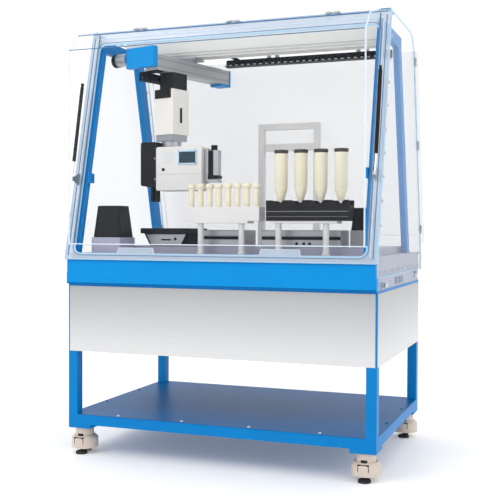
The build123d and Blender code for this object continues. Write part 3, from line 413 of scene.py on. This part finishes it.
# Grip outlines: pale lines of painted highlight.
for i, gx in enumerate(GRIP_X):
    line(f"grip_edge_{i}", [on_front(gx + dx, s, 0.001) for dx, s in GRIP_OUTLINE], 0.0028, "painted_highlight_edge")

# Folded door: edges of the sheet and its cheeks, pale lines of painted highlight and dark lines of painted
# shade
DOOR_X = 0.757
DOOR_LINE = [(-0.612, 1.075), (-0.612, 2.045), (-0.527, 2.134)]
for side, tag in SIDES:
    x = side * (DOOR_X - 0.0025)
    profile = [(x, y + 0.002, z) for y, z in DOOR_LINE] + [(x, -0.316, 2.195)]
    seat = [(x, front_y(1.078) - 0.006, 1.078), (x, front_y(2.18) - 0.009, 2.18)]
    cheek = [(x, -0.610, 1.077), (x, front_y(1.077) - 0.006, 1.077)]
    # Door sides and cheeks: pale lines of painted highlight; seats: dark lines of painted shade.
    line(f"door_side_edge_{tag}", profile, 0.0042, "painted_highlight_edge", "front_door")
    line(f"door_seat_edge_{tag}", seat, 0.0034, "painted_shade_edge", "front_door")
    line(f"door_cheek_edge_{tag}", cheek, 0.0034, "painted_highlight_edge", "front_door")
# Bottom edge of the door: painted highlight; the two folds: dark lines of painted shade.
DOOR_RUNS = (("door_bottom_edge", -0.6095, 1.0775, 0.0030, "painted_highlight_edge"),
             ("door_fold_low", -0.6095, 2.044, 0.0026, "painted_shade_edge"),
             ("door_fold_high", -0.5265, 2.132, 0.0026, "painted_shade_edge"))
for name, y, z, radius, kind in DOOR_RUNS:
    line(name, [(-DOOR_X + 0.004, y, z), (DOOR_X - 0.004, y, z)], radius, kind, "front_door")

# Side walls: edges, screw rows, rear clips and a corner fitting
WALL_OUTLINE = [(-0.548, 0.936), (-0.548, 1.0), (front_y(2.19) + 0.016, 2.19),
                (front_y(2.196) + 0.03, 2.1965), (0.215, 2.1965), (0.262, 2.186), (0.298, 2.160),
                (0.318, 2.128), (rear_y(2.10), 2.10), (0.5965, 1.012), (0.5965, 0.936)]
# Wall edges: tinted lines with a painted glow.
for side, tag in SIDES:
    x = side * (HALF - 0.004)
    line(f"wall_edge_{tag}", [(x, y, z) for y, z in WALL_OUTLINE], 0.0040, "edge", closed=True)
bm = bmesh.new()
SCREW = [(0, 0.0045), (0.0045, 0.0042), (0.0072, 0.0026), (0.0078, 0.0), (0.0078, -0.001)]
for side in (-1, 1):
    spots = [(front_y(z) + 0.030, z) for z in [1.06 + i * 0.112 for i in range(11)]]
    spots += [(rear_y(z) - 0.020, z) for z in [1.08 + i * 0.128 for i in range(9)]]
    spots += [(-0.50 + i * 0.142, 0.958) for i in range(8)]
    for y, z in spots:
        add_turned(bm, SCREW, (side * HALF, y, z), (side, 0, 0), 14)
piece("wall_screws", bm, "steel")
bm = bmesh.new()
for side in (-1, 1):
    for z in (1.16, 1.62, 2.06):
        x, y = side * 0.808, rear_y(z) - 0.004
        add_box(bm, (x - 0.003, y - 0.016, z - 0.022), (x + 0.003, y + 0.016, z + 0.022))
piece("wall_clips", bm, "alu_plain", bevel=0.002)
bm = bmesh.new()
add_box(bm, (0.735, -0.292, 2.2005), (0.800, -0.266, 2.2035))
piece("corner_fitting", bm, "teal", bevel=0.001)

# Painted shade in the vents of the base: a dark box at each slot
bm = bmesh.new()
for side in (-1, 1):
    for i in range(6):
        y = -0.120 + i * 0.038
        x0, x1 = sorted((side * 0.7895, side * 0.7865))
        add_box(bm, (x0, y - 0.010, 0.886), (x1, y + 0.010, 0.920))
piece("vent_painted_shade", bm, "dark_vent")

# Display and sensor on the tool head
face_y = -0.2045
bm = bmesh.new()
add_box(bm, (-0.337, face_y - 0.0012, 1.502), (-0.243, face_y + 0.0005, 1.561))
piece("display_glass", bm, "screen", "tool", bevel=0.0006)
bm = bmesh.new()
for z0, z1 in ((1.495, 1.5018), (1.5612, 1.568)):
    add_box(bm, (-0.342, face_y - 0.002, z0), (-0.238, face_y + 0.001, z1))
for x0, x1 in ((-0.342, -0.3372), (-0.2428, -0.238)):
    add_box(bm, (x0, face_y - 0.002, 1.495), (x1, face_y + 0.001, 1.568))
piece("display_bezel", bm, "bezel", "tool", bevel=0.001)
bm = bmesh.new()
SENSOR = [(0, 0.004), (0.007, 0.003), (0.009, 0.0), (0.009, -0.001)]
add_turned(bm, SENSOR, (-0.432, -0.2002, 1.470), (0, -1, 0), 18)
piece("head_sensor", bm, "black", "tool")

# Faint plain print beside the display and two seams of the head
bm = bmesh.new()
PRINT = ((1.556, 0.062), (1.545, 0.048), (1.532, 0.066), (1.521, 0.055), (1.510, 0.062), (1.499, 0.040))
for z, length in PRINT:
    add_box(bm, (-0.428, -0.2006, z), (-0.428 + length, -0.1998, z + 0.0025))
piece("head_print", bm, "print", "tool", smooth=False)
bm = bmesh.new()
for x0, x1, z0, z1 in ((-0.470, -0.214, 1.3585, 1.3600), (-0.470, -0.214, 1.4440, 1.4452)):
    add_box(bm, (x0, -0.2006, z0), (x1, -0.1995, z1))
piece("head_seams", bm, "grey_paint", "tool", smooth=False)

# Turned tubes with mushroom caps, cartridges with a seam ring, and their dark caps
RACK_Y = -0.330
bm = bmesh.new()
TUBE = [(0, 1.225), (0.015, 1.225), (0.015, 1.357), (0.0185, 1.359), (0.021, 1.364), (0.021, 1.374),
        (0.0165, 1.383), (0, 1.383)]
TUBE_COUNT, TUBE_X, TUBE_PITCH = 8, -0.209, 0.0503
for i in range(TUBE_COUNT):
    add_turned(bm, TUBE, (TUBE_X + i * TUBE_PITCH, RACK_Y, 0), steps=28)
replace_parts(piece("turned_tubes", bm, "tube"), "sample_tubes")
bm = bmesh.new()
CARTRIDGE = [(0, 1.290), (0.016, 1.290), (0.016, 1.298), (0.0295, 1.344), (0.0305, 1.348),
             (0.0305, 1.3585), (0.0325, 1.3600), (0.0325, 1.3640), (0.0310, 1.3650), (0.0322, 1.3670),
             (0.0325, 1.524), (0, 1.524)]
CARTRIDGE_COUNT, CARTRIDGE_X, CARTRIDGE_PITCH = 4, 0.272, 0.101
cartridge_places = [CARTRIDGE_X + i * CARTRIDGE_PITCH for i in range(CARTRIDGE_COUNT)]
for x in cartridge_places:
    add_turned(bm, CARTRIDGE, (x, RACK_Y, 0), steps=32)
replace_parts(piece("turned_cartridges", bm, "tube"), "cartridges")
bm = bmesh.new()
CAP = [(0, 1.5240), (0.0325, 1.5240), (0.0345, 1.5300), (0.0355, 1.5360), (0.0350, 1.5400),
       (0.0330, 1.5420), (0, 1.5420)]
for x in cartridge_places:
    add_turned(bm, CAP, (x, RACK_Y, 0), steps=32)
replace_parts(piece("turned_caps", bm, "cap"), "cartridge_caps")

# Black rack whose top edge dips at each cartridge, with two pale seams
low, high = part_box("cartridge_rack")
edge = [(low[0], low[2]), (high[0], low[2]), (high[0], high[2])]
DIP_TOP, DIP_FLOOR, DIP_DEPTH = 0.028, 0.008, 0.022
for x in reversed(cartridge_places):
    edge += [(x + DIP_TOP, high[2]), (x + DIP_FLOOR, high[2] - DIP_DEPTH)]
    edge += [(x - DIP_FLOOR, high[2] - DIP_DEPTH), (x - DIP_TOP, high[2])]
edge.append((low[0], high[2]))
bm = bmesh.new()
add_plate(bm, edge, low[1], low[1] + 0.012)
add_plate(bm, edge, high[1] - 0.012, high[1])
add_box(bm, (low[0], low[1] + 0.012, low[2]), (high[0], high[1] - 0.012, high[2] - 0.024))
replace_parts(piece("notched_rack", bm, "black_soft", smooth=False, bevel=0.0015), "cartridge_rack")
bm = bmesh.new()
for z0, z1 in ((0.044, 0.0465), (0.020, 0.0215)):
    start = (low[0] + 0.002, low[1] - 0.0012, low[2] + z0)
    add_box(bm, start, (high[0] - 0.002, low[1] + 0.001, low[2] + z1))
piece("rack_seams", bm, "grey_paint", smooth=False)

# Grey deck modules: bright rails, a dark slot of painted shade between them and three knobs
MODULES = ((-0.198, 0.058), (0.152, 0.558))
bm = bmesh.new()
for x0, x1 in MODULES:
    add_box(bm, (x0, -0.2725, 1.122), (x1, -0.269, 1.146))
    add_box(bm, (x0, -0.2725, 1.070), (x1, -0.269, 1.100))
piece("module_rails", bm, "alu_plain", bevel=0.001)
bm = bmesh.new()
for x0, x1 in MODULES:
    add_box(bm, (x0, -0.2722, 1.103), (x1, -0.269, 1.117))
piece("module_slot_painted_shade", bm, "black", bevel=0.0008)
bm = bmesh.new()
KNOB = [(0, 0.006), (0.0065, 0.005), (0.008, 0.0), (0.008, -0.002)]
for x in (0.335, 0.372, 0.402):
    add_turned(bm, KNOB, (x, -0.272, 1.083), (0, -1, 0), 20)
piece("module_knobs", bm, "black")

# Dark line where the blue band meets the stand
bm = bmesh.new()
add_box(bm, (-0.7995, -0.5608, 0.8755), (0.7995, -0.5590, 0.8815))
piece("band_shadow_line", bm, "blue_painted_shade", smooth=False)

# Painted bases under the two bins
bm = bmesh.new()
add_box(bm, (-0.7012, -0.4812, 1.0305), (-0.5388, -0.3188, 1.1095))
piece("left_bin_base", bm, "deck", bevel=0.001)
bm = bmesh.new()
add_box(bm, (0.5988, -0.2412, 1.0645), (0.7112, -0.1388, 1.1492))
piece("right_bin_base", bm, "grey_paint", bevel=0.001)

# Balance: bright tapered shell with a dark slot of painted shade under the black top, and a round button
bm = bmesh.new()
add_plate(bm, [(-0.458, 1.072), (-0.290, 1.072), (-0.262, 1.126), (-0.486, 1.126)], -0.2865, -0.283)
piece("balance_front", bm, "alu_plain", bevel=0.001)
bm = bmesh.new()
add_box(bm, (-0.400, -0.2880, 1.094), (-0.345, -0.285, 1.102))
BUTTON = [(0, 0.004), (0.007, 0.003), (0.008, 0.0), (0.008, -0.002)]
add_turned(bm, BUTTON, (-0.320, -0.2865, 1.102), (0, -1, 0), 18)
piece("balance_slot_shade_and_button", bm, "black", bevel=0.0006)

# Dark gripper plate with a rounded corner, a stepped foot and two screws
corner = [(-0.558 + 0.010 * cos(radians(a)), 1.608 + 0.010 * sin(radians(a))) for a in (90, 120, 150, 180)]
outline = [(-0.568, 1.390), (-0.560, 1.384), (-0.534, 1.384), (-0.534, 1.3785), (-0.4745, 1.3785),
           (-0.4745, 1.618)] + corner
bm = bmesh.new()
add_plate(bm, outline, -0.195, -0.110)
PRONG = [(0, 1.300), (0.011, 1.300), (0.013, 1.303), (0.013, 1.379), (0, 1.379)]
for x in (-0.516, -0.488):
    add_turned(bm, PRONG, (x, -0.150, 0), steps=20)
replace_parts(piece("gripper_cover", bm, "black_soft", "tool", bevel=0.0015), "gripper_module")
bm = bmesh.new()
SMALL_SCREW = [(0, 0.0025), (0.004, 0.002), (0.0045, 0.0), (0.0045, -0.001)]
for z in (1.420, 1.530):
    add_turned(bm, SMALL_SCREW, (-0.484, -0.195, z), (0, -1, 0), 14)
piece("gripper_screws", bm, "steel", "tool")

# Dosing unit: dark barrel, knob and lower plate over the bright frame
bm = bmesh.new()
BARREL = [(0, 1.437), (0.0134, 1.437), (0.0134, 1.567), (0, 1.567)]
DOSING_KNOB = [(0, 1.5685), (0.0172, 1.5685), (0.0174, 1.594), (0.0160, 1.5965), (0, 1.5965)]
add_turned(bm, BARREL, (-0.172, -0.150, 0), steps=24)
add_turned(bm, DOSING_KNOB, (-0.160, -0.146, 0), steps=24)
add_box(bm, (-0.1865, -0.1725, 1.4195), (-0.1275, -0.1175, 1.4365))
piece("dosing_dark_parts", bm, "black", "tool", bevel=0.0008)

# Column: dark bracket under the chain and a dark slot, painted shade
PIVOT_X, ARM_TURN = -0.383, radians(-15.6)
turn = Matrix.Translation((PIVOT_X, 0, 0)) @ Matrix.Rotation(ARM_TURN, 4, "Z")
bm = bmesh.new()
add_box(bm, (-0.060, -0.199, 1.850), (0.050, -0.195, 1.897), turn)
add_box(bm, (-0.052, -0.2005, 1.858), (0.042, -0.198, 1.880), turn)
piece("column_bracket", bm, "black_soft", "column", bevel=0.002)
bm = bmesh.new()
add_box(bm, (0.0640, -0.139, 1.720), (0.0660, -0.121, 1.800), turn)
piece("column_slot_painted_shade", bm, "black", "column", bevel=0.0008)

# Arm: grooves of the profile in a darker grey, painted shade in them, and the black end of the motor
bm = bmesh.new()
for u in (-0.0402, 0.0402):
    for z in (2.005, 2.0455):
        add_box(bm, (u - 0.0006, -0.286, z - 0.0040), (u + 0.0006, 0.322, z + 0.0040), turn)
piece("arm_groove_painted_shade", bm, "grey_paint", "arm", smooth=False)
bm = bmesh.new()
motor_axis = turn.to_3x3() @ Vector((-1, 0, 0))
motor_at = turn @ Vector((-0.150, -0.3075, 2.0525))
MOTOR_END = [(0.0330, 0.066), (0.0356, 0.067), (0.0356, 0.0925), (0.030, 0.0928), (0, 0.0928)]
add_turned(bm, MOTOR_END, motor_at, motor_axis, 32)
piece("motor_end", bm, "black", "arm")

# Beam chain: pale marks under its windows
LINK_COUNT, LINK_PITCH, MARK_X = 25, 0.036, -0.218
bm = bmesh.new()
for i in range(LINK_COUNT):
    x = MARK_X + i * LINK_PITCH
    add_box(bm, (x, 0.2050, 2.0765), (x + 0.015, 0.2062, 2.0805))
piece("chain_marks", bm, "white", smooth=False)

# Domes on the shelf screws
bm = bmesh.new()
DOME = [(0, 0.0060), (0.0040, 0.0055), (0.0075, 0.0035), (0.0085, 0.0), (0.0085, -0.001)]
for y in (-0.515, 0.515):
    for x in (-0.528, -0.176, 0.176, 0.528):
        add_turned(bm, DOME, (x, y, 0.207), steps=16)
piece("shelf_domes", bm, "white")

# Caster windows with their red thumb wheels
CORNERS = (("front_left", -1, -1), ("front_right", 1, -1), ("rear_left", -1, 1), ("rear_right", 1, 1))
CASTER_X, CASTER_Y = 0.740, 0.480
THUMB_WHEEL = [(0, 0.058), (0.022, 0.058), (0.024, 0.061), (0.024, 0.077), (0.022, 0.080), (0, 0.080)]
for corner_name, sx, sy in CORNERS:
    at = Vector((sx * CASTER_X, sy * CASTER_Y, 0))
    body = f"caster_{corner_name}_housing"
    bm = bmesh.new()
    add_box(bm, (at.x - 0.026, at.y - 0.0640, 0.0520), (at.x + 0.026, at.y - 0.0500, 0.0860))
    piece(f"caster_window_{corner_name}", bm, "black", body, bevel=0.003)
    bm = bmesh.new()
    add_turned(bm, THUMB_WHEEL, (at.x, at.y - 0.0420, 0), steps=24)
    piece(f"caster_thumb_{corner_name}", bm, "red", body)

# Floor, light and world
BACK_Y, BACK_R = 6.0, 5.0
bend = [radians(a) for a in range(0, 91, 5)]
sweep = [(-30.0, 0.0)] + [(BACK_Y + BACK_R * sin(a), BACK_R * (1 - cos(a))) for a in bend]
sweep.append((BACK_Y + BACK_R, 20.0))
floor = bpy.data.objects.new("floor", bpy.data.meshes.new("floor"))
bm = bmesh.new()
rows = [[bm.verts.new((x, y, z)) for x in (-30, 30)] for y, z in sweep]
for low, high in zip(rows, rows[1:]):
    bm.faces.new((low[0], low[1], high[1], high[0]))
for face in bm.faces:
    face.smooth = True
bm.to_mesh(floor.data)
bm.free()
floor.data.materials.append(surface("floor_paint", (0.95, 0.95, 0.95), 0.7, vary=0.01, bump=0.0))
floor_shader = floor.data.materials[0].node_tree.nodes["Principled BSDF"]
floor_shader.inputs["Emission Color"].default_value = (1, 1, 1, 1)
floor_shader.inputs["Emission Strength"].default_value = 0.12
scene.collection.objects.link(floor)

world = bpy.data.worlds.new("world")
world.use_nodes = True
world.node_tree.nodes["Background"].inputs["Color"].default_value = (1, 1, 1, 1)
world.node_tree.nodes["Background"].inputs["Strength"].default_value = 1.0
scene.world = world
scene.view_settings.view_transform = "Standard"
scene.view_settings.look = "None"


def lamp(name, at, aim, size, power):
    light = bpy.data.lights.new(name, "AREA")
    light.shape = "RECTANGLE"
    light.size, light.size_y = size
    light.energy = power
    obj = bpy.data.objects.new(name, light)
    obj.location = at
    obj.rotation_euler = (Vector(aim) - Vector(at)).to_track_quat("-Z", "Y").to_euler()
    scene.collection.objects.link(obj)


lamp("key", (-2.2, -4.2, 4.2), (0, 0, 1.1), (2.5, 2.0), 70)
lamp("side", (4.6, -1.0, 2.4), (0, 0, 1.2), (1.6, 2.6), 30)
